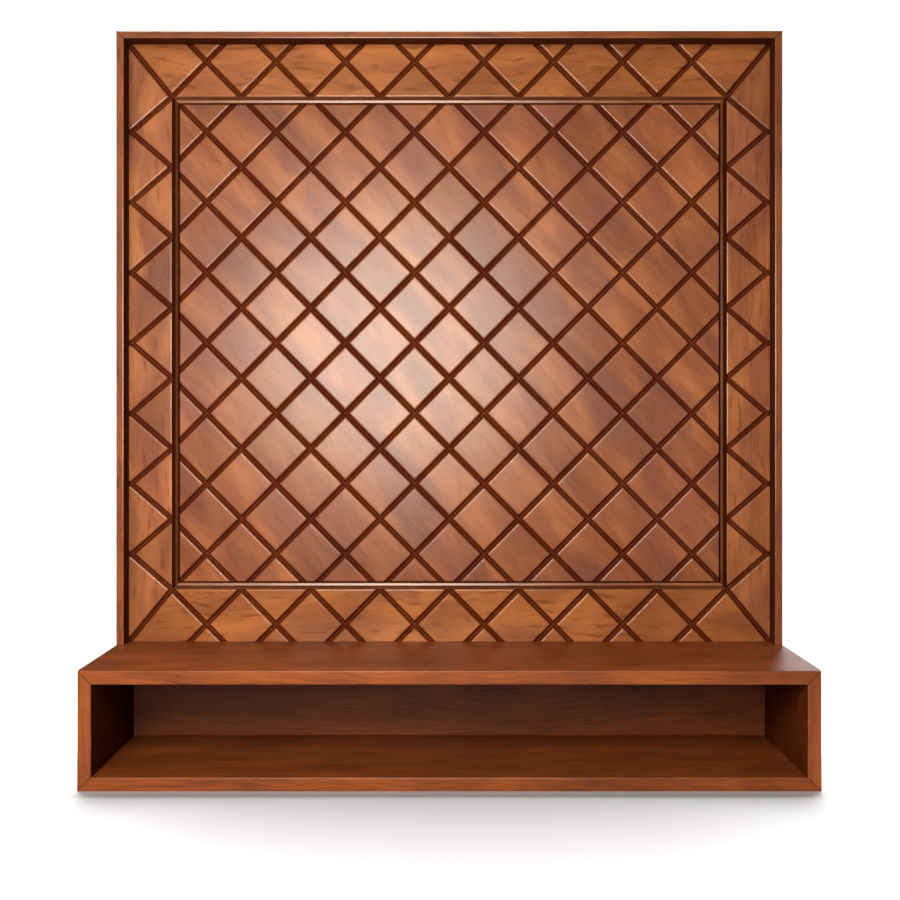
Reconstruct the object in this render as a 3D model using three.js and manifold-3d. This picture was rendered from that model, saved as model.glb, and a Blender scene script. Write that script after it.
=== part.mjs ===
// A lattice wall panel with an open shelf box at its foot, in millimetres.
// +X is to the right as seen from the room, +Y is towards the wall and +Z is up.
// The origin is under the middle of the footprint, at the height of the box's underside.
//
// The panel is a grooved field of diamonds inside a bead moulding, a border of four grooved
// and mitred boards, and a frame of three slats that stands on the box.
import * as THREE from "three";
import { mergeVertices } from "three/addons/utils/BufferGeometryUtils.js";
import Module from "manifold-3d";

const wasm = await Module();
wasm.setup();

// The whole object
const WIDTH = 1200; // over the box and over the frame
const JOINT = 0.3; // glue line between two boards

// The shelf box
const BOX_DEPTH = 304; // from the wall to the front edges
const BOX_HEIGHT = 194;
const BOX_BOARD = 22; // thickness of its four boards
const BACK_BOARD = 12; // thickness of the board that closes it behind
const BACK_INSET = 6; // from the wall to that board

// The frame of the panel
const FRAME_HEIGHT = 1107; // above the box
const FRAME_DEPTH = 56; // from the wall to the front of the slats
const FRAME_SLAT = 13; // width of a slat's front

// The boards of the panel
const PANEL_BOARD = 18; // thickness of border and field
const SIDE_BAND = 79; // border beside the bead moulding
const END_BAND = 96; // border above and below it
const COLUMNS = 8; // lattice nodes along the top, less one
const ROWS = 7; // lattice nodes down the side, less one

// The grooves of the lattice, cut with a flat-nosed V bit
const GROOVE_WIDTH = 11.5; // at the face
const GROOVE_FLOOR = 3.6;
const GROOVE_DEPTH = 6.5;
const TURN_INSET = 5; // from the frame to the outer turns of the zigzag

// The bead moulding between border and field
const MOULDING_WIDTH = 14.6;
const BEAD_WIDTH = 6.6;
const BEAD_SINK = 0.8; // the bead's crown, below the face of the boards
const QUIRK_DEPTH = 6; // the hollows on both sides of the bead
const FIELD_QUIRK = 2.4; // width of the hollow beside the field; the other takes what is left
const BEAD_STEPS = 8; // flats round the bead

// Levels and outlines that follow from those sizes
const WALL = BOX_DEPTH / 2;
const FRONT = WALL - BOX_DEPTH;
const FACE = WALL - PANEL_BOARD;
const TOP = BOX_HEIGHT + FRAME_HEIGHT;
const HALF_JOINT = JOINT / 2;
const REACH = GROOVE_WIDTH * 2; // a cutter runs this far past its ends

// Corners of a rectangle round the Z axis, clockwise as seen from the room, from the top left.
function rectangle(halfWidth, bottom, top) {
  return [
    [-halfWidth, top],
    [halfWidth, top],
    [halfWidth, bottom],
    [-halfWidth, bottom],
  ];
}

const boxOutside = rectangle(WIDTH / 2, 0, BOX_HEIGHT);
const boxInside = rectangle(
  WIDTH / 2 - BOX_BOARD,
  BOX_BOARD,
  BOX_HEIGHT - BOX_BOARD,
);
const frameOutside = rectangle(WIDTH / 2, BOX_HEIGHT, TOP);
const frameInside = rectangle(
  WIDTH / 2 - FRAME_SLAT,
  BOX_HEIGHT,
  TOP - FRAME_SLAT,
);
const nodeHalf = WIDTH / 2 - FRAME_SLAT - SIDE_BAND;
const nodeBottom = BOX_HEIGHT + END_BAND;
const nodeTop = TOP - FRAME_SLAT - END_BAND;
const nodeOutline = rectangle(nodeHalf, nodeBottom, nodeTop);
const fieldOutline = rectangle(
  nodeHalf - MOULDING_WIDTH,
  nodeBottom + MOULDING_WIDTH,
  nodeTop - MOULDING_WIDTH,
);
const pitchX = (2 * nodeHalf) / COLUMNS;
const pitchZ = (nodeTop - nodeBottom) / ROWS;

// A lattice node, counted from the top left corner of the bead moulding.
function node(column, row) {
  return [-nodeHalf + column * pitchX, nodeTop - row * pitchZ];
}

// A closed three.js geometry as a solid that can be cut.
function solid(geometry) {
  const bare = geometry.clone();
  bare.deleteAttribute("normal");
  bare.deleteAttribute("uv");
  const merged = mergeVertices(bare, 1e-4);
  return new wasm.Manifold(
    new wasm.Mesh({
      numProp: 3,
      vertProperties: merged.attributes.position.array,
      triVerts: new Uint32Array(merged.index.array),
    }),
  );
}

// An outline in the X-Z plane made into a board between two depths.
function board(outline, near, far) {
  const shape = new THREE.Shape(
    outline.map(([x, z]) => new THREE.Vector2(x, z)),
  );
  const geometry = new THREE.ExtrudeGeometry(shape, {
    depth: far - near,
    bevelEnabled: false,
  });
  return solid(geometry.rotateX(Math.PI / 2).translate(0, far, 0));
}

// A section carried along a straight line on the panel's face. Its points are [across, depth],
// with across to the right of the line and depth into the panel.
function run(section, from, to, overrun) {
  const along = new THREE.Vector3(to[0] - from[0], 0, to[1] - from[1]);
  const length = along.length() + 2 * overrun;
  along.normalize();
  const across = new THREE.Vector3(along.z, 0, -along.x);
  const shape = new THREE.Shape(
    section.map(([a, d]) => new THREE.Vector2(a, d)),
  );
  const geometry = new THREE.ExtrudeGeometry(shape, {
    depth: length,
    bevelEnabled: false,
  });
  geometry.translate(0, 0, -overrun);
  const placed = new THREE.Matrix4()
    .makeBasis(across, new THREE.Vector3(0, 1, 0), along)
    .setPosition(from[0], FACE, from[1]);
  return solid(geometry.applyMatrix4(placed));
}

// A clockwise convex outline with edge k, from point k to the next, moved inwards by shifts[k].
function trimmed(outline, shifts) {
  const edges = outline.map(([x, z], k) => {
    const [nextX, nextZ] = outline[(k + 1) % outline.length];
    const length = Math.hypot(nextX - x, nextZ - z);
    const inX = (nextZ - z) / length;
    const inZ = (x - nextX) / length;
    return { inX, inZ, level: inX * x + inZ * z + shifts[k] };
  });
  return edges.map((edge, k) => {
    const before = edges[(k + edges.length - 1) % edges.length];
    const scale = before.inX * edge.inZ - before.inZ * edge.inX;
    return [
      (before.level * edge.inZ - edge.level * before.inZ) / scale,
      (edge.level * before.inX - before.level * edge.inX) / scale,
    ];
  });
}

// The board on one side of a mitred ring, 0 top, 1 right, 2 bottom and 3 left, as an outline.
// Its trims go round clockwise: the outer edge, the next end, the inner edge, the last end.
function ringSide(outside, inside, side, trims) {
  const next = (side + 1) % outside.length;
  const outline = [outside[side], outside[next], inside[next], inside[side]];
  return trimmed(outline, trims);
}

const sideNames = ["top", "right", "bottom", "left"];
const panel = new THREE.Group();

function add(name, shape, finish) {
  const made = shape.getMesh();
  const geometry = new THREE.BufferGeometry();
  geometry.setAttribute(
    "position",
    new THREE.BufferAttribute(made.vertProperties, 3),
  );
  geometry.setIndex(new THREE.BufferAttribute(made.triVerts, 1));
  geometry.computeVertexNormals();
  const mesh = new THREE.Mesh(
    geometry,
    new THREE.MeshStandardMaterial({ ...finish, flatShading: true }),
  );
  mesh.name = name;
  panel.add(mesh);
}

// Lacquered hardwood, in the tones of the different boards
const boxFinish = { color: 0x8a4a28, roughness: 0.42, metalness: 0 };
const insideFinish = { color: 0x5c2c18, roughness: 0.5, metalness: 0 };
const frameFinish = { color: 0x96542e, roughness: 0.4, metalness: 0 };
const borderFinish = { color: 0xa65d30, roughness: 0.38, metalness: 0 };
const beadFinish = { color: 0x7d3f20, roughness: 0.35, metalness: 0 };
const fieldFinish = { color: 0xa8653e, roughness: 0.34, metalness: 0 };

// The shelf box: four mitred boards and a back board set in between them
function addShelfBox() {
  sideNames.forEach((side, k) => {
    const trims = [0, HALF_JOINT, 0, HALF_JOINT];
    const outline = ringSide(boxOutside, boxInside, k, trims);
    add(`box_${side}`, board(outline, FRONT, WALL), boxFinish);
  });
  const far = WALL - BACK_INSET;
  const outline = trimmed(boxInside, [JOINT, JOINT, JOINT, JOINT]);
  add("box_back", board(outline, far - BACK_BOARD, far), insideFinish);
}

// The frame: a top rail mitred to two stiles, which stand on the box
function addFrame() {
  const slats = [
    ["frame_top_rail", 0, [0, HALF_JOINT, 0, HALF_JOINT]],
    ["frame_stile_right", 1, [0, JOINT, 0, HALF_JOINT]],
    ["frame_stile_left", 3, [0, HALF_JOINT, 0, JOINT]],
  ];
  for (const [name, side, trims] of slats) {
    const outline = ringSide(frameOutside, frameInside, side, trims);
    add(name, board(outline, WALL - FRAME_DEPTH, WALL), frameFinish);
  }
}

const grooveSection = [
  [-GROOVE_WIDTH / 2, -GROOVE_DEPTH],
  [GROOVE_WIDTH / 2, -GROOVE_DEPTH],
  [GROOVE_WIDTH / 2, 0],
  [GROOVE_FLOOR / 2, GROOVE_DEPTH],
  [-GROOVE_FLOOR / 2, GROOVE_DEPTH],
  [-GROOVE_WIDTH / 2, 0],
];

function groove(from, to) {
  return run(grooveSection, from, to, REACH);
}

// The grooves of the field, from node to node across the whole lattice
function fieldGrooves() {
  const cutters = [];
  const addFalling = (column, row) => {
    const steps = Math.min(COLUMNS - column, ROWS - row);
    cutters.push(groove(node(column, row), node(column + steps, row + steps)));
  };
  const addRising = (column, row) => {
    const steps = Math.min(column, ROWS - row);
    cutters.push(groove(node(column, row), node(column - steps, row + steps)));
  };
  for (let column = 0; column < COLUMNS; column += 1) {
    addFalling(column, 0);
    addRising(column + 1, 0);
  }
  for (let row = 1; row < ROWS; row += 1) {
    addFalling(0, row);
    addRising(COLUMNS, row);
  }
  return cutters;
}

// The grooves of the board above the field, or of the one below it: from each node a falling
// and a rising one, apart from the two that the mitres stand for
function endGrooves(row, away) {
  const cutters = [];
  const steps = END_BAND / pitchZ;
  for (let column = 0; column <= COLUMNS; column += 1) {
    const from = node(column, row);
    for (const turn of [-1, 1]) {
      const mitred = turn < 0 ? column === 0 : column === COLUMNS;
      if (mitred) continue;
      cutters.push(
        groove(from, [
          from[0] + turn * steps * pitchX,
          from[1] + away * END_BAND,
        ]),
      );
    }
  }
  return cutters;
}

// The zigzag of a side board: in each row two legs from the nodes to a turn near the frame, each
// cut off level with the turn, and a short run from the turn to the frame
function sideGrooves(column, away) {
  const cutters = [];
  for (let row = 0; row < ROWS; row += 1) {
    const upper = node(column, row);
    const lower = node(column, row + 1);
    const turn = [
      upper[0] + away * (SIDE_BAND - TURN_INSET),
      (upper[1] + lower[1]) / 2,
    ];
    const near = FACE - GROOVE_DEPTH;
    const far = FACE + GROOVE_DEPTH;
    const above = rectangle(WIDTH, turn[1], upper[1] + REACH);
    const below = rectangle(WIDTH, lower[1] - REACH, turn[1]);
    cutters.push(groove(upper, turn).intersect(board(above, near, far)));
    cutters.push(groove(turn, lower).intersect(board(below, near, far)));
    cutters.push(run(grooveSection, turn, [turn[0] + away * REACH, turn[1]], 0));
  }
  return cutters;
}

const borderGrooves = [
  () => endGrooves(0, 1),
  () => sideGrooves(COLUMNS, 1),
  () => endGrooves(ROWS, -1),
  () => sideGrooves(0, -1),
];

// The border: four boards, grooved and mitred, with a groove along each mitre
function addBorder() {
  sideNames.forEach((side, k) => {
    const next = (k + 1) % sideNames.length;
    const trims = [JOINT, HALF_JOINT, HALF_JOINT, HALF_JOINT];
    const outline = ringSide(frameInside, nodeOutline, k, trims);
    const cutters = [
      ...borderGrooves[k](),
      groove(nodeOutline[k], frameInside[k]),
      groove(nodeOutline[next], frameInside[next]),
    ];
    const blank = board(outline, FACE, WALL);
    add(
      `border_${side}`,
      blank.subtract(wasm.Manifold.union(cutters)),
      borderFinish,
    );
  });
}

// The bead moulding: a round bead between two hollows, mitred at the corners
function beadSection() {
  const radius = BEAD_WIDTH / 2;
  const middle = MOULDING_WIDTH - FIELD_QUIRK - radius;
  const arc = [];
  for (let step = 0; step <= BEAD_STEPS; step += 1) {
    const angle = (Math.PI * step) / BEAD_STEPS;
    arc.push([
      middle - radius * Math.cos(angle),
      BEAD_SINK + radius * (1 - Math.sin(angle)),
    ]);
  }
  return [
    [0, QUIRK_DEPTH],
    [middle - radius, QUIRK_DEPTH],
    ...arc,
    [middle + radius, QUIRK_DEPTH],
    [MOULDING_WIDTH, QUIRK_DEPTH],
    [MOULDING_WIDTH, PANEL_BOARD],
    [0, PANEL_BOARD],
  ];
}

function addBead() {
  sideNames.forEach((side, k) => {
    const next = (k + 1) % sideNames.length;
    const trims = [HALF_JOINT, HALF_JOINT, HALF_JOINT, HALF_JOINT];
    const outline = ringSide(nodeOutline, fieldOutline, k, trims);
    const strip = run(beadSection(), nodeOutline[k], nodeOutline[next], 0);
    add(`bead_${side}`, strip.intersect(board(outline, FACE, WALL)), beadFinish);
  });
}

// The field: one board, grooved all over into diamonds
function addField() {
  const trims = [HALF_JOINT, HALF_JOINT, HALF_JOINT, HALF_JOINT];
  const outline = trimmed(fieldOutline, trims);
  const blank = board(outline, FACE, WALL);
  add(
    "lattice_field",
    blank.subtract(wasm.Manifold.union(fieldGrooves())),
    fieldFinish,
  );
}

addShelfBox();
addFrame();
addBorder();
addBead();
addField();

export default panel;
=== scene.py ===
# %% [markdown]
# # A lattice wall panel on an open shelf box
# The part comes in as plain solids that already have their sizes and places. On the real unit
# the edges are eased, the grooves are stained dark and everything is under a glossy lacquer.
# This lesson rebuilds each board with those edges, gives it grain that runs the way its log
# was cut, and lights it as a studio would.

from math import radians

import bmesh
import bpy
import numpy as np
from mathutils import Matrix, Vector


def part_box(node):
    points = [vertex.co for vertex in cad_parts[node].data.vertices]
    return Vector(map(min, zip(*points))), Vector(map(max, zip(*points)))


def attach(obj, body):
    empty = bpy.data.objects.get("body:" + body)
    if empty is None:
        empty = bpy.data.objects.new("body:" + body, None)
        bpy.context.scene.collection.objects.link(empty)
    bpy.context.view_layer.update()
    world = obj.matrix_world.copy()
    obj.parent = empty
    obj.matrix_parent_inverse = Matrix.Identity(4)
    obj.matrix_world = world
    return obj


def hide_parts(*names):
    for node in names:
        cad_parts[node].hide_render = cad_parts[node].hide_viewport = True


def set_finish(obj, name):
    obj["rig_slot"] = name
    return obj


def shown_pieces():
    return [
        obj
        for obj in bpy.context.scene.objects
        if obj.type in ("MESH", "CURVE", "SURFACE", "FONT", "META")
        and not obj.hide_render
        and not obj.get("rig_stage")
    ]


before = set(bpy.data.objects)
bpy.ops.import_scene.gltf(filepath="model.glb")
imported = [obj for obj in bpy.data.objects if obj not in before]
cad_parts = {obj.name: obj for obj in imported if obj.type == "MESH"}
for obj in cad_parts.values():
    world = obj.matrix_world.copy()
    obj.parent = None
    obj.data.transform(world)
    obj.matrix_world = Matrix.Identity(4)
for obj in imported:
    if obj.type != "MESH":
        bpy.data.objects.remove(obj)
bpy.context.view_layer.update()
print("solids:", ", ".join(sorted(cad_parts)))

# %% [markdown]
# ## The lines of the panel
# Every board here is made afresh, so its lines have to come from the solids and from nowhere
# else. The glue lines are gaps of 0.3 mm, so the true line between two boards is the middle of
# the gap between their boxes. All the making is done in millimetres and turned into metres at
# the end, because a joiner's sizes are easier to read that way.


# %% Read the lines from the solids
def box_mm(node):
    """Lowest and highest corner of a solid, in millimetres."""
    return np.array(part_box(node)) * 1000


def between(low, high):
    """The middle of the gap between two levels."""
    return (low + high) / 2


GAP = 0.3
field_low, field_high = box_mm("lattice_field")
FACE, WALL = field_low[1], field_high[1]
NODE_RIGHT = between(box_mm("bead_right")[1][0], box_mm("border_right")[0][0])
NODE_TOP = between(box_mm("bead_top")[1][2], box_mm("border_top")[0][2])
NODE_BOTTOM = between(box_mm("bead_bottom")[0][2], box_mm("border_bottom")[1][2])
MOULDING = NODE_RIGHT - between(box_mm("bead_right")[0][0], field_high[0])
OPENING_RIGHT = box_mm("frame_stile_right")[0][0]
OPENING_TOP = box_mm("frame_top_rail")[0][2]
OPENING_BOTTOM = box_mm("box_top")[1][2]
COLUMNS, ROWS = 8, 7
PITCH_X, PITCH_Z = 2 * NODE_RIGHT / COLUMNS, (NODE_TOP - NODE_BOTTOM) / ROWS
SIDE_BAND = OPENING_RIGHT - NODE_RIGHT
END_BAND = OPENING_TOP - NODE_TOP
print(f"pitch {PITCH_X:.2f} mm along the top and {PITCH_Z:.2f} mm down the side")
print(f"border {SIDE_BAND:.2f} mm at the sides, {END_BAND:.2f} mm above, moulding {MOULDING:.2f} mm")

# %% [markdown]
# ## From arrays to a piece
# A piece is a list of points and a list of faces. Three things are stored with it for the
# finish: where each point was in the log (`log`), how far it is darkened there by stain and by
# painted shade, and a small difference in tone for each tile (`tile`). On a smooth piece, edges
# that turn by more than 44 degrees stay sharp, and a weighted normal keeps the wide faces flat
# between their round arrises. The grooved boards are shaded face by face, so that each facet
# keeps its own lean.


# %% Make a piece from points and faces
SHARP = radians(44)
MERGE = 0.00008


def make_piece(name, node, points, faces, log, shade_and_stain_share, tile, slot, smooth=True):
    """A mesh from points in millimetres, with its finish attributes, standing for one solid."""
    mesh = bpy.data.meshes.new(name)
    mesh.from_pydata((points / 1000).tolist(), [], faces)
    mesh.attributes.new("log", "FLOAT_VECTOR", "POINT").data.foreach_set("vector", (log / 1000).ravel())
    # Darkening by stain and by painted shade, one share for each point.
    mesh.attributes.new("shade_and_stain_share", "FLOAT", "POINT").data.foreach_set("value", shade_and_stain_share)
    mesh.attributes.new("tile", "FLOAT", "FACE").data.foreach_set("value", tile)
    weld = bmesh.new()
    weld.from_mesh(mesh)
    bmesh.ops.remove_doubles(weld, verts=weld.verts, dist=MERGE)
    weld.to_mesh(mesh)
    weld.free()
    mesh.polygons.foreach_set("use_smooth", np.full(len(mesh.polygons), smooth))
    piece = bpy.data.objects.new(name, mesh)
    bpy.context.scene.collection.objects.link(piece)
    if smooth:
        mesh.set_sharp_from_angle(angle=SHARP)
        weighted = piece.modifiers.new("wide faces stay flat", "WEIGHTED_NORMAL")
        weighted.keep_sharp = True
    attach(piece, "root")
    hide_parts(node)
    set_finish(piece, slot)
    return piece


# %% [markdown]
# ## The section of a groove
# The lattice is cut with a flat-nosed V bit, 11.5 mm wide at the face and 6.5 mm deep. Its
# arrises were broken with a sanding block before the lacquer went on. Three strokes, each a
# little steeper, leave three narrow facets that lean into the groove by 5, 10 and 15 degrees.
# They are what catches the light as a thin bright line, on the side that faces the lamp. Below
# them a small round turns into the wall, and a bevel joins the wall to the floor. The section
# is a row of rings round a tile: how far each lies from the groove's middle, and how deep.

# %% The rings of the section
GROOVE_WIDTH, GROOVE_FLOOR, GROOVE_DEPTH = 11.5, 3.6, 6.5
TURN_INSET, HAIR = 5.0, 0.02
FACETS, FACET_WIDTH, CORNER_ROUND, CORNER_STEPS = np.radians([15, 10, 5]), 0.62, 0.5, 3
BEVEL_IN, BEVEL_OUT, BEVEL_RISE = 0.6, 0.25, 0.7
slope = np.arctan2(GROOVE_DEPTH, (GROOVE_WIDTH - GROOVE_FLOOR) / 2)
corner = np.linspace(slope, FACETS[0], CORNER_STEPS + 1)
tilt = np.r_[(corner[1:] + corner[:-1]) / 2, FACETS]
corner_step = CORNER_ROUND * (slope - FACETS[0]) / CORNER_STEPS
step = np.r_[np.full(CORNER_STEPS, corner_step), np.full(len(FACETS), FACET_WIDTH)]
fall = np.r_[0, np.cumsum(step * np.sin(tilt))]
arris_depth = fall[-1] - fall
arris_across = np.r_[0, np.cumsum(step * np.cos(tilt))]
arris_across += GROOVE_WIDTH / 2 - arris_depth[0] / np.tan(slope)
groove_across = np.r_[0, GROOVE_FLOOR / 2 - BEVEL_IN, GROOVE_FLOOR / 2 + BEVEL_OUT, arris_across]
ring_depth = np.r_[GROOVE_DEPTH, GROOVE_DEPTH, GROOVE_DEPTH - BEVEL_RISE, arris_depth]
print("rings:", ", ".join(f"{a:.2f}/{d:.2f}" for a, d in zip(groove_across, ring_depth)))

# %% [markdown]
# Not every edge of a tile is a plain groove. A mitre runs along the middle of one, so there the
# deepest ring stops a hair short of the joint. Towards the bead an edge has the same facets with
# a plain wall below them. At the outer edge, where a block hardly reaches, they are a quarter as
# wide.
# Each kind of edge has its own row of shifts, one for every ring.

# %% How far the rings of each kind of edge lie inwards
flat_across = np.maximum(groove_across - arris_across[0], 0)
EDGE_SHIFT = {
    "groove": groove_across,
    "mitre": np.maximum(groove_across, HAIR),
    "inner": GAP / 2 + flat_across,
    "outer": GAP + flat_across / 4,
}
print("widest shifts:", ", ".join(f"{kind} {shift[-1]:.2f} mm" for kind, shift in EDGE_SHIFT.items()))

# %% [markdown]
# ## Moving the edges of a tile
# A tile of the lattice is a small convex outline. To give it its arrises, each of its edges is
# moved inwards, ring by ring, and neighbouring moved edges are crossed to find the new corners.
# Grooves then meet in true mitres wherever they cross, with no cutting of one mesh by another.


# %% Corners of moved outlines
def moved_corners(corners, shifts):
    """Where neighbouring edges cross after each has moved inwards.

    corners is (tiles, sides, 2), counter-clockwise, and shifts is (rings, sides). An edge's
    points satisfy inward . p = level, so two neighbouring edges give two equations for p.
    """
    along = np.roll(corners, -1, axis=1) - corners
    along = along / np.linalg.norm(along, axis=2, keepdims=True)
    inward = np.stack([-along[..., 1], along[..., 0]], axis=-1)
    level = (inward * corners).sum(axis=-1)[:, None] + shifts
    inward = inward[:, None]
    before, before_level = np.roll(inward, 1, axis=2), np.roll(level, 1, axis=2)
    scale = before[..., 0] * inward[..., 1] - before[..., 1] * inward[..., 0]
    x = (before_level * inward[..., 1] - level * before[..., 1]) / scale
    z = (level * before[..., 0] - before_level * inward[..., 0]) / scale
    return np.stack([x, z], axis=-1)


def counter_clockwise(corners, kinds):
    """The same outlines and edge kinds, turned round if they run clockwise."""
    x, z = corners[0].T
    area = (x * np.roll(z, -1) - np.roll(x, -1) * z).sum()
    if area > 0:
        return corners, list(kinds)
    return corners[:, ::-1], list(np.roll(kinds[::-1], -1))


# %% [markdown]
# ## A grooved board
# A board is a set of such tiles. Each one is a flat front, a ring of strips down into the
# groove, a wall where the tile ends at the board's own edge, and its share of the back. The
# points that tiles share are welded, so the board comes out as one skin. Only where a groove runs
# out into a glue line do two tiles end at slightly different places, and there the skin is open
# for up to 0.3 mm, which is too little to see.


# %% Build a grooved board
def tile_faces(sides, kinds, rings):
    """Faces of one tile as index rows: its strips, its walls, its front and its back."""
    k, i = np.meshgrid(np.arange(rings - 1), np.arange(sides), indexing="ij")
    j = (i + 1) % sides
    strips = np.stack([k * sides + i, k * sides + j, (k + 1) * sides + j, (k + 1) * sides + i], -1)
    i = np.flatnonzero([kind != "groove" for kind in kinds])
    j = (i + 1) % sides
    back = rings * sides
    walls = np.stack([j, i, back + i, back + j], -1)
    front = (rings - 1) * sides + np.arange(sides)
    return np.r_[strips.reshape(-1, 4), walls], front, back + np.arange(sides)[::-1]


def board_tiles(corners, kinds, first):
    """Points, faces and tile numbers of equal tiles, from their outlines in the X-Z plane.

    Point and face numbers start at first. The back is one plain face of the board, so its share
    of it has tile number -1 in every tile.
    """
    corners, kinds = counter_clockwise(np.asarray(corners, float), kinds)
    shifts = np.stack([EDGE_SHIFT[kind] for kind in kinds], axis=1)
    flat = moved_corners(corners, shifts)
    tiles, rings, sides, _ = flat.shape
    flat = np.concatenate([flat, flat[:, :1]], axis=1)
    depth = np.broadcast_to(np.r_[FACE + ring_depth, WALL][None, :, None], flat.shape[:3])
    points = np.stack([flat[..., 0], depth, flat[..., 1]], axis=-1).reshape(-1, 3)
    quads, front, back = tile_faces(sides, kinds, rings)
    step = first + (np.arange(tiles) * (rings + 1) * sides)[:, None, None]
    faces = (quads[None] + step).reshape(-1, 4).tolist()
    faces += (front[None] + step[:, 0]).tolist() + (back[None] + step[:, 0]).tolist()
    number = np.r_[np.repeat(np.arange(tiles), len(quads)), np.arange(tiles), np.full(tiles, -1)]
    return points, faces, number


# %% [markdown]
# ## Grain, stain and painted shade
# `log` turns a board's own X and Z into a length along the grain and one across it, and moves
# each board to a far place in the log, so that no two boards repeat. Stain was wiped into the
# grooves and off the faces, and the grooves are darkened further as painted shade: the
# darkening is full on the walls, a little less on the floor, and gone just below the face.


# %% Where a point was in the log, and how far stain and painted shade darken it
DARKENING_STARTS, DARKENING_FULL, FLOOR_STAIN_AND_SHADE = 0.4, 0.8, 0.77


def in_the_log(points, grain_degrees, place):
    """Along the grain, across it and into it: a turn in the X-Z plane and a move."""
    angle = radians(grain_degrees)
    along = points[:, 0] * np.cos(angle) + points[:, 2] * np.sin(angle)
    across = points[:, 2] * np.cos(angle) - points[:, 0] * np.sin(angle)
    return np.stack([along, across, points[:, 1]], axis=-1) + np.array(place) * 1000


def stain_and_shade_in_grooves(points):
    """A straight rise from 0 to 1 just under the face, a little less on the floor, none behind."""
    depth = points[:, 1] - FACE
    rise = np.clip((depth - DARKENING_STARTS) / (DARKENING_FULL - DARKENING_STARTS), 0, 1)
    share = np.where(depth > GROOVE_DEPTH - 0.1, FLOOR_STAIN_AND_SHADE, rise)
    return share * (points[:, 1] < WALL - 1)


tones = np.random.default_rng(11)


def grooved_board(name, node, groups, grain_degrees, place, slot):
    """One board from groups of tiles, each group a pair of outlines and edge kinds."""
    points, faces, tone = [], [], []
    for corners, kinds in groups:
        new_points, new_faces, number = board_tiles(corners, kinds, sum(map(len, points)))
        points.append(new_points)
        faces += new_faces
        tone.append(np.append(tones.normal(0, 1, number.max() + 1), 0)[number])
    points = np.concatenate(points)
    log = in_the_log(points, grain_degrees, place)
    # Stain and painted shade in the grooves: darkest on the walls, a little less on the floor.
    stain_and_shade = stain_and_shade_in_grooves(points)
    piece = make_piece(name, node, points, faces, log, stain_and_shade, np.concatenate(tone), slot, smooth=False)
    print(f"{name}: {sum(len(c) for c, _ in groups)} tiles, {len(piece.data.polygons)} faces")
    return piece


# %% [markdown]
# ## The field
# One wide board, grooved from edge to edge into diamonds. The lattice has its nodes on the line
# between bead and border, one moulding outside the field, so the tiles at the edges are cut:
# pentagons where a diamond is clipped and triangles where only half of one is left.


# %% The tiles of the field, in pitches from the top left node
def grid(columns, rows):
    """All pairs of a column and a row, as an (n, 1, 2) array."""
    return np.stack(np.meshgrid(columns, rows), axis=-1).reshape(-1, 1, 2).astype(float)


diamond = np.array([[0, -0.5], [0.5, 0], [0, 0.5], [-0.5, 0]])


def clipped_tiles(count, across, clip):
    """Pentagons and triangles along two opposite edges of the lattice, clip pitches inside them."""
    pentagon = np.array([[-clip, clip], [clip, clip], [0.5, 0.5], [0, 1], [-0.5, 0.5]])
    triangle = np.array([[clip, clip], [1 - clip, clip], [0.5, 0.5]])
    tiles = []
    for shape, first in ((pentagon, 1), (triangle, 0)):
        near = shape[None] + grid(np.arange(first, count), [0])
        kinds = ["inner"] + ["groove"] * (len(shape) - 1)
        tiles += [(near, kinds), (near * [1, -1] + [0, across], kinds)]
    return tiles


def to_panel(pitches):
    """From pitches right and down to millimetres in the X-Z plane."""
    return np.array([-NODE_RIGHT, NODE_TOP]) + pitches * [PITCH_X, -PITCH_Z]


whole = [
    diamond + grid(np.arange(1, COLUMNS - 1) + 0.5, np.arange(1, ROWS)),
    diamond + grid(np.arange(1, COLUMNS), np.arange(1, ROWS - 1) + 0.5),
]
field_groups = [(to_panel(tiles), ["groove"] * 4) for tiles in whole]
for tiles, kinds in clipped_tiles(COLUMNS, ROWS, MOULDING / PITCH_Z):
    field_groups.append((to_panel(tiles), kinds))
for tiles, kinds in clipped_tiles(ROWS, COLUMNS, MOULDING / PITCH_X):
    field_groups.append((to_panel(tiles[..., ::-1]), kinds))
grooved_board("grooved_field", "lattice_field", field_groups, -50, (3, 7, 0), "field_wood")

# %% [markdown]
# ## The border boards
# Four boards run round the field with their grain along them and meet in mitres, each with a
# groove in it. Above and below, the diagonals go on to the board's outer edge and cross once.
# At the sides there is only room for one zigzag, which turns just short of the frame and runs
# out into it. The outlines are written once, along and away from the bead, and then placed.


# %% Tiles of a border board, along the bead and away from it
def rows_of(shape, pitch, count, first=0):
    """One outline repeated along the board, one pitch apart."""
    return np.array(shape)[None] + grid(np.arange(first, count) * pitch, [0])


def both_ends(shape, length):
    """The tile at a mitre, and its mirror image at the other end."""
    shape, kinds = np.array(shape)[None], ["groove", "groove", "outer", "mitre"]
    return [(shape, kinds), (shape * [-1, 1] + [length, 0], kinds)]


def end_board_groups(count, pitch=PITCH_X):
    """The boards above and below: crossing diagonals, which end at slant along and out away."""
    half, rise, out = pitch / 2, PITCH_Z / 2, END_BAND
    slant = out * PITCH_X / PITCH_Z
    inner = [[0, 0], [half, rise], [pitch, 0]]
    clipped = [[0, 0], [half, rise], [pitch - slant, out], [slant - pitch, out], [-half, rise]]
    outer = [[half, rise], [slant, out], [pitch - slant, out]]
    mitred = [[0, 0], [half, rise], [pitch - slant, out], [-SIDE_BAND, out]]
    groups = [
        (rows_of(inner, pitch, count), ["groove", "groove", "inner"]),
        (rows_of(clipped, pitch, count, 1), ["groove", "groove", "outer", "groove", "groove"]),
        (rows_of(outer, pitch, count), ["groove", "outer", "groove"]),
    ]
    return groups + both_ends(mitred, pitch * count)


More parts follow.
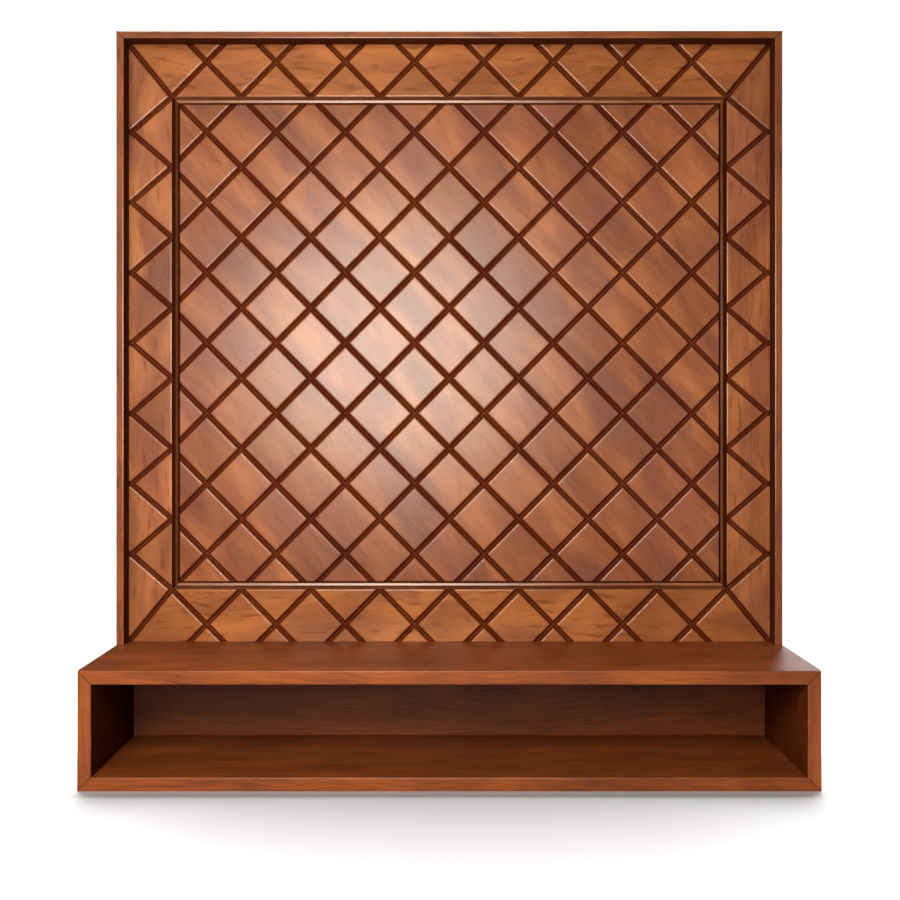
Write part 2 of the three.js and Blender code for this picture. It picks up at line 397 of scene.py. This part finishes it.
def side_board_groups(count, pitch=PITCH_Z):
    """The boards at the sides: one zigzag, and a short run from each turn to the frame."""
    half, turn, out = pitch / 2, SIDE_BAND - TURN_INSET, SIDE_BAND
    inner = [[0, 0], [half, turn], [pitch, 0]]
    clipped = [[0, 0], [half, turn], [half, out], [-half, out], [-half, turn]]
    mitred = [[0, 0], [half, turn], [half, out], [-END_BAND, out]]
    groups = [
        (rows_of(inner, pitch, count), ["groove", "groove", "inner"]),
        (rows_of(clipped, pitch, count, 1), ["groove", "groove", "outer", "groove", "groove"]),
    ]
    return groups + both_ends(mitred, pitch * count)


# %% Place the four boards
def placed(groups, corner, along, away):
    """Groups moved from the bead's own lines to the panel: corner + u * along + w * away."""
    turn = np.array([along, away], float)
    return [(tiles @ turn + corner, kinds) for tiles, kinds in groups]


top_left, bottom_right = [-NODE_RIGHT, NODE_TOP], [NODE_RIGHT, NODE_BOTTOM]
border_places = {
    "top": (placed(end_board_groups(COLUMNS), top_left, [1, 0], [0, 1]), 0, (11, 3, 0)),
    "right": (placed(side_board_groups(ROWS), bottom_right, [0, 1], [1, 0]), 90, (5, 13, 0)),
    "bottom": (placed(end_board_groups(COLUMNS), bottom_right, [-1, 0], [0, -1]), 0, (17, 9, 0)),
    "left": (placed(side_board_groups(ROWS), top_left, [0, -1], [-1, 0]), 90, (23, 5, 0)),
}
for side, (groups, grain, place) in border_places.items():
    grooved_board(f"grooved_border_{side}", f"border_{side}", groups, grain, place, "border_wood")

# %% [markdown]
# ## Boards, slats and beads
# Everything else is a section carried along a straight line and cut at both ends, mostly by a
# mitre. One function does them all. The section is a closed row of points, each with a distance
# from the outer line towards the inner one and a depth; the two ends are where those lines start
# and stop, so a mitre needs no cutting either. A little stain sits in each mitre, as it does
# where two boards are finished together.


# %% Carry a section between two ends
JOINT_RINGS, JOINT_STAIN = np.array([0, 0.5, 1.4]), np.array([1, 0.55, 0])


def carried(section, width, outer, inner):
    """Points of a section on rings along a strip, (rings, points, 3), and the way along.

    outer and inner are the strip's two lines, each from start to end. A point at share a of
    the width lies at (1 - a) * outer + a * inner, and rings near the ends follow the cut.
    """
    outer, inner = np.array(outer, float), np.array(inner, float)
    share = section[:, :1] / width
    start = outer[0] * (1 - share) + inner[0] * share
    end = outer[1] * (1 - share) + inner[1] * share
    length = np.linalg.norm(end - start, axis=1)
    unit = (end - start) / length[:, None]
    way = np.concatenate([
        np.broadcast_to(JOINT_RINGS[:, None], (len(JOINT_RINGS), len(section))),
        length[None] - JOINT_RINGS[::-1][:, None],
    ])
    flat = start[None] + unit[None] * way[..., None]
    depth = np.broadcast_to(section[None, :, 1], way.shape)
    return np.stack([flat[..., 0], depth, flat[..., 1]], axis=-1), way


def tube_faces(rings, around):
    """Quads between neighbouring rings and a many-sided cap at both ends."""
    k, i = np.meshgrid(np.arange(rings - 1), np.arange(around), indexing="ij")
    j = (i + 1) % around
    quads = np.stack([k * around + i, k * around + j, (k + 1) * around + j, (k + 1) * around + i], -1)
    last = (rings - 1) * around + np.arange(around)
    return [*quads.reshape(-1, 4).tolist(), np.arange(around)[::-1].tolist(), last.tolist()]


def outwards(points, faces):
    """The same faces, turned round if the volume they enclose comes out negative."""
    fans = [(face[0], face[n], face[n + 1]) for face in faces for n in range(1, len(face) - 1)]
    a, b, c = points[np.array(fans)].transpose(1, 0, 2)
    volume = (np.cross(a, b) * c).sum() / 6
    return faces if volume > 0 else [face[::-1] for face in faces]


def strip(name, node, section, width, lines, grain, place, slot, mitred=(True, True), stain_and_shade=None):
    """A carried section as a finished piece, with dark joints in its mitres and darkened hollows.

    The darkening has a share for each point of the section; the stronger of it and the mitre's
    counts. It is painted shade, in the bead's hollows partly the finish's own dark colour as well.
    """
    rings, way = carried(section, width, *lines)
    points = rings.reshape(-1, 3)
    faces = outwards(points, tube_faces(*rings.shape[:2]))
    joint = np.r_[JOINT_STAIN, JOINT_STAIN[::-1]] * np.repeat(mitred, len(JOINT_STAIN))
    # The mitre's dark joint is real; the share passed in is mostly painted shade.
    shade_and_stain_share = np.maximum(joint[:, None], 0 if stain_and_shade is None else stain_and_shade[None])
    shade_and_stain_share = np.broadcast_to(shade_and_stain_share, way.shape).ravel()
    log = in_the_log(points, grain, place)
    piece = make_piece(name, node, points, faces, log, shade_and_stain_share, np.zeros(len(faces)), slot)
    print(f"{name}: {np.ptp(points, axis=0).round(1)} mm")
    return piece


# %% [markdown]
# ## Sections with eased edges
# A board's section is a rectangle with its edges broken by the same sanding block: in front a
# narrow flat that leans outwards and a small round beyond it, drawn with two more points, and
# behind just a small bevel.


# %% The section of an eased board
LEAN = radians(10)


def eased_section(width, front, back, flat=1.5, bevel=0.6, lean=LEAN):
    """A rectangle of width by depth with broken edges, as rows of across and depth."""
    drop = flat * np.tan(lean)
    edge = np.array([[0, drop + 0.6], [0.12, drop + 0.2], [0.4, drop], [0.4 + flat, 0], [0.7 + flat, 0]])
    mirrored = edge[::-1] * [-1, 1] + [width, 0]
    behind = [[width, back - bevel], [width - bevel, back], [bevel, back], [0, back - bevel]]
    return np.concatenate([edge + [0, front], mirrored + [0, front], behind])


def ring_lines(outside, inside, side, pull=HAIR):
    """The outer and inner line of one side of a mitred ring, drawn back by a hair."""
    after = (side + 1) % 4
    unit = np.array([[1, 0], [0, -1], [-1, 0], [0, 1]], float)[side]
    return [[np.array(o[side]) + unit * pull, np.array(o[after]) - unit * pull] for o in (outside, inside)]


def outline(half_width, bottom, top):
    """Corners clockwise from the top left, as seen from the room."""
    return [[-half_width, top], [half_width, top], [half_width, bottom], [-half_width, bottom]]


# %% [markdown]
# ## The shelf box
# Four boards 22 mm thick, mitred at the corners, and a thinner board let in behind. The front
# edges are eased a little more steeply than the frame's, at 15 degrees, because the box stands
# below the lamps: that lean gives a faint line of light along the top and inside the bottom. The
# boards' inner faces are darkened by painted shade, more or less, most on the left, where the
# shelf is darkest.

# %% The box boards
sides = ["top", "right", "bottom", "left"]
box_corners = np.array([box_mm(f"box_{side}") for side in sides])
box_low, box_high = box_corners[:, 0].min(axis=0), box_corners[:, 1].max(axis=0)
BOARD = np.ptp(box_mm("box_top"), axis=0)[2]
box_outside = outline(box_high[0], box_low[2], box_high[2])
box_inside = outline(box_high[0] - BOARD, box_low[2] + BOARD, box_high[2] - BOARD)
box_section = eased_section(BOARD, box_low[1], box_high[1], lean=radians(15))
painted_shade_inside = {"top": 0.6, "right": 0.7, "bottom": 0.15, "left": 0.9}
for k, side in enumerate(sides):
    lines = ring_lines(box_outside, box_inside, k)
    place = (31 + 3 * k, 19 + 5 * k, 0)
    # Painted shade on the inner face of each board.
    stain_and_shade = (box_section[:, 0] > BOARD - 0.01) * painted_shade_inside[side]
    strip(f"eased_box_{side}", f"box_{side}", box_section, BOARD, lines, 90 * (k % 2), place,
          "box_wood", stain_and_shade=stain_and_shade)

# %% [markdown]
# ## The frame
# Three slats stand out in front of the panel and turn it into a shallow tray. The two stiles
# stand on the box, so only their upper ends are mitred. Their inner faces, the walls of the
# tray, are darkened as painted shade.

# %% The frame slats
slat_low, slat_high = box_mm("frame_top_rail")
SLAT = np.ptp(box_mm("frame_stile_left"), axis=0)[0]
frame_outside = outline(box_mm("frame_stile_right")[1][0], OPENING_BOTTOM, slat_high[2])
frame_inside = outline(OPENING_RIGHT, OPENING_BOTTOM, OPENING_TOP)
slat_section = eased_section(SLAT, slat_low[1], slat_high[1])
# Painted shade on the slats' inner faces, the walls of the tray.
slat_painted_shade = (slat_section[:, 0] > SLAT - 0.01) * 0.8
for k, node, mitred in ((0, "top_rail", (1, 1)), (1, "stile_right", (1, 0)), (3, "stile_left", (0, 1))):
    lines = ring_lines(frame_outside, frame_inside, k)
    for line in lines:
        for end in line:
            end[1] = max(end[1], OPENING_BOTTOM + GAP)
    place = (61 + 3 * k, 37 + 5 * k, 0)
    strip(f"eased_{node}", f"frame_{node}", slat_section, SLAT, lines, 90 * (k % 2), place,
          "frame_wood", mitred, slat_painted_shade)

# %% [markdown]
# ## The bead moulding
# A thin strip worked with a plane: from the border a slope falls to the foot of a bead, whose
# broad crown leans a little towards the field, and beyond the bead is a narrow deep quirk. The
# slope and the quirk are darkened by stain and by painted shade. The upright strips also have
# painted shade over the crown, the left one most, so they read as dark lines, while the level
# ones shine. The rows of the section go from the border's side over slope, foot, crown and
# quirk to the field, then round the back.

# %% The bead strips
lip, foot, shoulder, brow, nose = GAP / 2, 5.4, 7.0, 11.0, 12.1
bead_rows = np.array([
    [lip, 1.6], [foot - 0.7, 4.3], [foot, 4.4], [foot + 0.4, 2.4], [foot + 0.8, 1.2], [foot + 1.3, 0.7],
    [shoulder, 0.55], [shoulder + 0.25, 0.55], [brow, 0.55 + (brow - shoulder) * np.tan(LEAN)],
    [brow + 0.4, 1.5], [brow + 0.8, 2.1], [nose - 0.1, 3.0], [nose, 6.0],
    [MOULDING - lip, 6.0], [MOULDING - lip, WALL - FACE], [lip, WALL - FACE],
])
bead_section = bead_rows + [0, FACE]
on_crown = (bead_rows[:, 0] > foot + 0.5) & (bead_rows[:, 0] < brow + 0.6) & (bead_rows[:, 1] < 2.5)
in_front = bead_rows[:, 1] < 6.5
on_slope = bead_rows[:, 0] < foot + 0.2
# Painted shade on each bead strip: how dark its crown, slope and quirk are made.
bead_painted_shade = {
    "top": (0.0, 0.66, 0.87),
    "right": (0.68, 0.97, 0.97),
    "bottom": (0.0, 0.66, 0.87),
    "left": (0.78, 0.98, 0.98),
}
node_outline = outline(NODE_RIGHT, NODE_BOTTOM, NODE_TOP)
field_outline = outline(NODE_RIGHT - MOULDING, NODE_BOTTOM + MOULDING, NODE_TOP - MOULDING)
for k, side in enumerate(sides):
    lines = ring_lines(node_outline, field_outline, k)
    place = (81 + 3 * k, 57 + 5 * k, 0)
    crown, slope_share, quirk = bead_painted_shade[side]
    stain_and_shade = np.where(on_crown, crown, np.where(on_slope, slope_share, quirk)) * in_front
    strip(f"bead_strip_{side}", f"bead_{side}", bead_section, MOULDING, lines, 90 * (k % 2), place,
          "bead_wood", stain_and_shade=stain_and_shade)

# %% [markdown]
# ## The back of the box
# A plain board between the four others, seen only inside the shelf and from behind.

# %% The back board
back_low, back_high = box_mm("box_back")
back_height = back_high[2] - back_low[2]
back_section = eased_section(back_height, back_low[1], back_high[1])
back_lines = [
    [[back_low[0], back_high[2]], [back_high[0], back_high[2]]],
    [[back_low[0], back_low[2]], [back_high[0], back_low[2]]],
]
strip("inset_back_board", "box_back", back_section, back_height, back_lines, 0, (97, 71, 0),
      "box_wood", mitred=(0, 0))

# %% [markdown]
# ## Colours and nodes
# Colours are written as sRGB hex values, the way a paint chart gives them, and turned to linear
# light by one function. One small function adds a shader node: its settings are the node's own
# choices, and its inputs take numbers, colours, or what another node puts out.


# %% Helpers for the finish
def linear(code):
    """An sRGB hex colour as linear RGBA: the low part is a straight line, the rest a power."""
    values = np.array([int(code[n : n + 2], 16) for n in (1, 3, 5)]) / 255
    values = np.where(values <= 0.04045, values / 12.92, ((values + 0.055) / 1.055) ** 2.4)
    return (*values.tolist(), 1.0)


def add_node(tree, kind, settings=None, inputs=None):
    """A new node. An input given as a node takes that node's first output."""
    node = tree.nodes.new(kind)
    for name, value in (settings or {}).items():
        setattr(node, name, value)
    for key, value in (inputs or {}).items():
        if isinstance(value, bpy.types.Node):
            value = value.outputs[0]
        if isinstance(value, bpy.types.NodeSocket):
            tree.links.new(value, node.inputs[key])
        else:
            node.inputs[key].default_value = value
    return node


# %% [markdown]
# ## Lacquered hardwood
# The wood is a dense tropical one, cut through the side of the log, stained red-brown and
# sprayed with several coats of clear lacquer. What the eye gets: broad clouds of orange-brown
# and of a colder purple-brown, short dark marks that waver along the grain, a little fibre,
# thin veins where the growth rings are cut, and over it all one soft bright reflection from the
# coat. Each layer is a noise stretched along the grain, with its size in millimetres.


# %% A pattern of the wood
def stretched(tree, grain, along_mm, across_mm, detail, shift=0.0, roughness=0.5):
    """Noise whose patches are along_mm by across_mm, read at a place of its own in the log."""
    size = (1000 / along_mm, 1000 / across_mm, 1000 / across_mm)
    place = add_node(tree, "ShaderNodeMapping", {},
                     {"Vector": grain, "Scale": size, "Location": (shift, shift * 2, shift)})
    return add_node(tree, "ShaderNodeTexNoise", {},
                    {"Vector": place, "Scale": 1.0, "Detail": detail, "Roughness": roughness})


# %% [markdown]
# The grain isn't straight: it wavers slowly, and also a little faster. So every pattern is read
# at a place that two noises have moved across the grain.

# %% Bend the grain
WAVER = 0.009


def bent_grain(tree, log):
    """The place in the log plus a move across the grain of 9 mm times (4 * slow + quick)."""
    slow, quick = stretched(tree, log, 190, 70, 2.0, 4.0), stretched(tree, log, 45, 30, 2.0, 6.0)
    waver = add_node(tree, "ShaderNodeMath", {"operation": "MULTIPLY_ADD"}, {0: slow, 1: 4.0, 2: quick})
    return add_node(tree, "ShaderNodeVectorMath", {"operation": "MULTIPLY_ADD"},
                    {0: waver.outputs[0], 1: (0, WAVER, 0), 2: log})


# %% [markdown]
# The veins are drawn as the contour lines of a slow noise: the height is multiplied, its whole
# part thrown away, and the place where it starts again from nought is a thin line. That gives
# long nested curves, as growth rings do on a flat-sawn board. A second noise says where on the
# board they show, and how strongly.


# %% Veins
def veins(tree, grain, share):
    """The noise times 15 without its whole part, and a share that is 0 in most of the board."""
    rings = stretched(tree, grain, 420, 60, 2.0, 31.0, 0.4)
    height = add_node(tree, "ShaderNodeMath", {"operation": "MULTIPLY"}, {0: rings, 1: 15.0})
    contour = add_node(tree, "ShaderNodeMath", {"operation": "FRACT"}, {0: height})
    where = stretched(tree, grain, 300, 90, 2.0, 41.0)
    shown = add_node(tree, "ShaderNodeMapRange", {"interpolation_type": "SMOOTHSTEP"},
                     {"Value": where, "From Min": 0.5, "From Max": 0.66, "To Max": share})
    return contour, shown


# %% [markdown]
# The colour is built up from a middle tone: light clouds, cold clouds, fibre, marks, veins. Each
# layer is mixed over the ones before it, by a smooth step of its noise and at most by its share.
# A tile that is lighter as a whole is also a little colder, because the two come from the same
# number.


# %% The colour of the wood
def wood_colour(tree, grain, streaks, tile, tints, shares):
    """From mid, each tint in turn by share * smoothstep(noise from low to high).

    tints are light, mid, cold and vein as hex codes; shares are how much cold, fibre, marks and
    veins show at most.
    """
    light, mid, cold, vein = (linear(tint) for tint in tints)
    cold_share, fibre_share, mark_share, vein_share = shares
    patches = stretched(tree, grain, 210, 80, 3.0, 9.0)
    colder = add_node(tree, "ShaderNodeMath", {"operation": "MULTIPLY_ADD"}, {0: tile, 1: 0.03, 2: patches})
    contour, shown = veins(tree, grain, vein_share)
    layers = (
        (stretched(tree, grain, 130, 42, 3.5, 0.0, 0.52), 0.33, 0.67, 1.0, light),
        (colder, 0.42, 0.64, cold_share, cold),
        (streaks, 0.3, 0.72, fibre_share, vein),
        (stretched(tree, grain, 50, 9.0, 1.6, 13.0), 0.54, 0.72, mark_share, vein),
        (contour, 0.2, 0.0, shown, vein),
    )
    colour = mid
    for noise, low, high, share, tint in layers:
        mask = add_node(tree, "ShaderNodeMapRange", {"interpolation_type": "SMOOTHSTEP"},
                        {"Value": noise, "From Min": low, "From Max": high, "To Max": share})
        mix = add_node(tree, "ShaderNodeMix", {"data_type": "RGBA"}, {0: mask, 6: colour, 7: tint})
        colour = mix.outputs[2]
    return colour


# %% [markdown]
# The lacquer is a clear coat with the index of a common resin, 1.5, rubbed to a soft gloss. The
# bead was polished once more, and 1.6 stands for that. Under the coat the fibre is raised by a
# hair, which only the wood shows. Where stain and painted shade are strong the coat is thinned
# away too, so the grooves stay dull and read as clean dark lines.


# %% The finish
def lacquered_wood(name, tints, stain_and_shade, cold=0.5, fibre=0.15, marks=0.4, veined=0.25, fibre_mm=6.0,
                   coat_roughness=0.19, coat=1.0, coat_ior=1.5):
    """Wood colour times 1 + 0.09 * tile, mixed towards the dark colour by the stored share of painted
    shade, groove colour and dark joints, under coat * (1 - 1.4 * that share).
    """
    material = bpy.data.materials.new(name)
    material.use_nodes = True
    tree = material.node_tree
    tree.nodes.clear()
    log, shade_and_stain_share, tile = (
        add_node(tree, "ShaderNodeAttribute", {"attribute_name": attribute}).outputs[output]
        for attribute, output in (("log", "Vector"), ("shade_and_stain_share", "Fac"), ("tile", "Fac"))
    )
    grain = bent_grain(tree, log)
    streaks = stretched(tree, grain, 30 * fibre_mm, fibre_mm, 3.0, 17.0, 0.6)
    colour = wood_colour(tree, grain, streaks, tile, tints, (cold, fibre, marks, veined))
    tone = add_node(tree, "ShaderNodeMath", {"operation": "MULTIPLY_ADD"}, {0: tile, 1: 0.09, 2: 1.0})
    toned = add_node(tree, "ShaderNodeVectorMath", {"operation": "SCALE"}, {0: colour, "Scale": tone})
    # Stain and painted shade: the colour goes towards the dark colour by the stored share.
    stained = add_node(tree, "ShaderNodeMix", {"data_type": "RGBA"}, {0: shade_and_stain_share, 6: toned, 7: linear(stain_and_shade)})
    grit = add_node(tree, "ShaderNodeBump", {}, {"Strength": 0.03, "Distance": 0.0004, "Height": streaks})
    coated = add_node(tree, "ShaderNodeMath", {"operation": "MULTIPLY_ADD", "use_clamp": True},
                      {0: shade_and_stain_share, 1: -1.4 * coat, 2: coat})
    skin = add_node(tree, "ShaderNodeBsdfPrincipled", {}, {
        "Base Color": stained.outputs[2], "Normal": grit, "Roughness": 0.5, "IOR": 1.5,
        "Specular IOR Level": 0.0, "Coat Weight": coated, "Coat Roughness": coat_roughness,
        "Coat IOR": coat_ior,
    })
    add_node(tree, "ShaderNodeOutputMaterial", {}, {"Surface": skin})
    print(f"{name}: {len(tree.nodes)} nodes")
    return material


# %% [markdown]
# ## Tones of the boards
# All boards are of the same wood and were stained together, but the field was laid from paler
# stock, the border from warmer stock, and the box is darker and redder. The two upright boards
# of the border came from a cooler, browner plank than the level ones. The box stands low and is
# touched most, so its coat is thin and worn to a satin.

# %% Give every board its tone
# The second colour of each finish is what the stored share darkens towards: in the grooves stain, with
# painted shade on their walls; in the mitres stain; in the bead's hollows stain and painted shade; on the
# bead's upright crowns and the inner faces of box and frame painted shade.
GROOVE_STAIN_AND_SHADE = "#4B1002"
finishes = {
    "field_wood": lacquered_wood(
        "lacquered_hardwood_pale", ("#B26A3E", "#965432", "#7E4A3A", "#5A2E1E"), GROOVE_STAIN_AND_SHADE,
        cold=0.65, fibre=0.05, marks=0.2, veined=0.2, fibre_mm=9.0),
    "border_wood": lacquered_wood(
        "lacquered_hardwood_warm", ("#C2733A", "#A45F30", "#84482E", "#683014"), GROOVE_STAIN_AND_SHADE,
        cold=0.35, fibre=0.1, marks=0.5, veined=0.3),
    "frame_wood": lacquered_wood(
        "lacquered_hardwood_slat", ("#A85E32", "#8E4C2A", "#7A4028", "#4A2415"), "#38140A",
        cold=0.3, fibre=0.3, fibre_mm=3.0),
    "bead_wood": lacquered_wood(
        "lacquered_hardwood_bead", ("#B06A40", "#965634", "#804830", "#5A2C14"), "#341003",
        cold=0.3, coat_ior=1.6),
    "box_wood": lacquered_wood(
        "lacquered_hardwood_dark", ("#AC5724", "#94491C", "#7C3F1B", "#431D12"), "#37140A",
        cold=0.4, fibre=0.46, marks=0.16, veined=0.3, fibre_mm=3.2, coat_roughness=0.4, coat=0.5),
}
cooler_plank = lacquered_wood(
    "lacquered_hardwood_cool", ("#BE7241", "#9C5C36", "#7A4238", "#642E1A"), GROOVE_STAIN_AND_SHADE,
    cold=0.5, fibre=0.12, marks=0.4, veined=0.3)
upright_boards = ("grooved_border_right", "grooved_border_left")
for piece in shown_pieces():
    if piece.get("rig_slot") in finishes:
        own = cooler_plank if piece.name in upright_boards else finishes[piece["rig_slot"]]
        piece.data.materials.append(own)

# %% [markdown]
# ## Floor and background
# A product photograph like this is taken on a white sweep that is lit until it goes pure white,
# and only the soft shadow at the foot of the box is left. A wide white floor with a lamp of its
# own does the same, and a white world closes the view above it. The camera sees that
# world a touch over full white, so that no grey is left in it, and the wood is hardly lit by it.

# %% The floor
floor_mesh = bpy.data.meshes.new("white_floor")
wide, near, far = 1.0, -0.66, 0.9
floor_corners = [(-wide, near, 0), (wide, near, 0), (wide, far, 0), (-wide, far, 0)]
floor_mesh.from_pydata(floor_corners, [], [(0, 1, 2, 3)])
floor = bpy.data.objects.new("white_floor", floor_mesh)
bpy.context.scene.collection.objects.link(floor)
floor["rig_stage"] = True
floor.visible_glossy = False
paper = bpy.data.materials.new("white_paper_sweep")
paper.use_nodes = True
paper.node_tree.nodes.clear()
paper_skin = add_node(paper.node_tree, "ShaderNodeBsdfPrincipled", {}, {
    "Base Color": (0.95, 0.95, 0.95, 1), "Roughness": 1.0, "Specular IOR Level": 0.0,
})
add_node(paper.node_tree, "ShaderNodeOutputMaterial", {}, {"Surface": paper_skin})
floor_mesh.materials.append(paper)

# %% The world
SEEN_WHITE, LIT_WHITE = 1.05, 0.07
world = bpy.data.worlds.new("white_studio")
bpy.context.scene.world = world
world.use_nodes = True
sky = world.node_tree
sky.nodes.clear()
seen, lit = (add_node(sky, "ShaderNodeBackground", {}, {"Color": (1, 1, 1, 1), "Strength": strength})
             for strength in (SEEN_WHITE, LIT_WHITE))
ray = add_node(sky, "ShaderNodeLightPath")
both = add_node(sky, "ShaderNodeMixShader", {}, {0: ray.outputs["Is Camera Ray"], 1: lit, 2: seen})
add_node(sky, "ShaderNodeOutputWorld", {}, {"Surface": both})
print("white:", SEEN_WHITE, "as seen and", LIT_WHITE, "as light")

# %% [markdown]
# ## The lights
# A large softbox at the front left and a smaller one closer in give the general light, which is
# a little stronger on the left, and a weak one overhead opens the top of the box. The glow in
# the lacquer is the mirror image of three round lamps, one inside the other and each wider and
# dimmer, as a lamp behind a diffuser would be. They are hidden from diffuse light, and so is the
# lamp above that draws a line along the plain arrises of box and frame. The sweep has a light of
# its own above and behind, which throws the soft shadow at the foot. Three more lamps stand
# behind the panel and keep its back and its sides readable in other views.


# %% A lamp that is aimed
def softbox(name, at, aim, size, power, shape="RECTANGLE"):
    """An area light at a place, turned so that its face looks at another place."""
    light = bpy.data.lights.new(name, "AREA")
    light.shape = shape
    light.size, light.size_y = size
    light.energy = power
    lamp = bpy.data.objects.new(name, light)
    bpy.context.scene.collection.objects.link(lamp)
    lamp.location = at
    way = np.array(aim, float) - np.array(at, float)
    distance = np.linalg.norm(way)
    lamp.rotation_euler = (np.arccos(-way[2] / distance), 0, np.arctan2(way[1], way[0]) - radians(90))
    lamp.visible_camera = False
    return lamp


# %% Place the lights
front = softbox("front_left_softbox", (-0.9, -3.2, 1.6), (0, 0.1, 0.7), (1.6, 1.6), 62)
close = softbox("close_softbox", (-0.3, -1.2, 0.8), (-0.2, 0.13, 0.7), (0.4, 0.4), 12)
overhead = softbox("overhead_softbox", (0, 0, 3.1), (0, 0.01, 0), (3.2, 2.2), 8)
sweep_light = softbox("sweep_light", (0, 1.38, 3.1), (0, 1.39, 0), (3.2, 2.2), 340)
softbox("rear_fill", (0.8, 3.2, 1.8), (0, 0.1, 0.7), (2.0, 2.0), 60)
side_fills = [softbox(f"side_fill_{name}", (x, 1.5, 1.1), (0, 0.1, 0.6), (1.5, 1.5), 35)
              for name, x in (("left", -2.8), ("right", 2.8))]
for lamp in (front, close):
    lamp.visible_glossy = False

glow_at, glow_aim = (-0.254, -2.866, 0.926), (-0.11, 0.13, 0.74)
glow = [softbox(f"glow_disk_{k}", glow_at, glow_aim, (size, size), power, "DISK")
        for k, (size, power) in enumerate(((0.9, 22), (1.25, 22), (1.8, 5)))]
arris_light = softbox("arris_light", (-0.4, -1.3, 2.9), (-0.2, 0.1, 0.8), (1.5, 1.5), 110)
for lamp in (*glow, arris_light):
    lamp.visible_diffuse = False
    lamp.data.color = (1.0, 0.98, 0.88)

# %% [markdown]
# Not every lamp lights everything. A collection on a lamp says what it reaches: the sweep light
# only the floor, the close, overhead and side lamps all but the floor, and the lamp for the
# arrises only the plain boards.

# %% What each lamp reaches
only_floor = bpy.data.collections.new("lit by the sweep light")
only_floor.objects.link(floor)
sweep_light.light_linking.receiver_collection = only_floor
not_floor = bpy.data.collections.new("the floor stays out of the object's lights")
not_floor.objects.link(floor)
not_floor.collection_objects[0].light_linking.link_state = "EXCLUDE"
for lamp in (close, overhead, *side_fills):
    lamp.light_linking.receiver_collection = not_floor
plain_boards = bpy.data.collections.new("boards with a plain arris")
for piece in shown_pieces():
    if piece.get("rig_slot") in ("box_wood", "frame_wood"):
        plain_boards.objects.link(piece)
arris_light.light_linking.receiver_collection = plain_boards

# %% [markdown]
# ## The camera
# The photograph was taken straight on, from a little below the middle of the unit, with a
# normal lens. The distance comes from how much wider the box's front edge is than its wall edge
# in the picture, and a small shift puts the unit where it is in the frame.

# %% The camera
camera_data = bpy.data.cameras.new("camera")
camera_data.lens = 52.2
camera_data.sensor_width = 36
camera_data.shift_x = 0.0007
camera_data.shift_y = -0.0256
camera = bpy.data.objects.new("camera", camera_data)
bpy.context.scene.collection.objects.link(camera)
camera.location = (0, -2.255, 0.5873)
camera.rotation_euler = (radians(90), 0, 0)
bpy.context.scene.camera = camera
bpy.context.scene.view_settings.view_transform = "Standard"
bpy.context.scene.view_settings.look = "None"
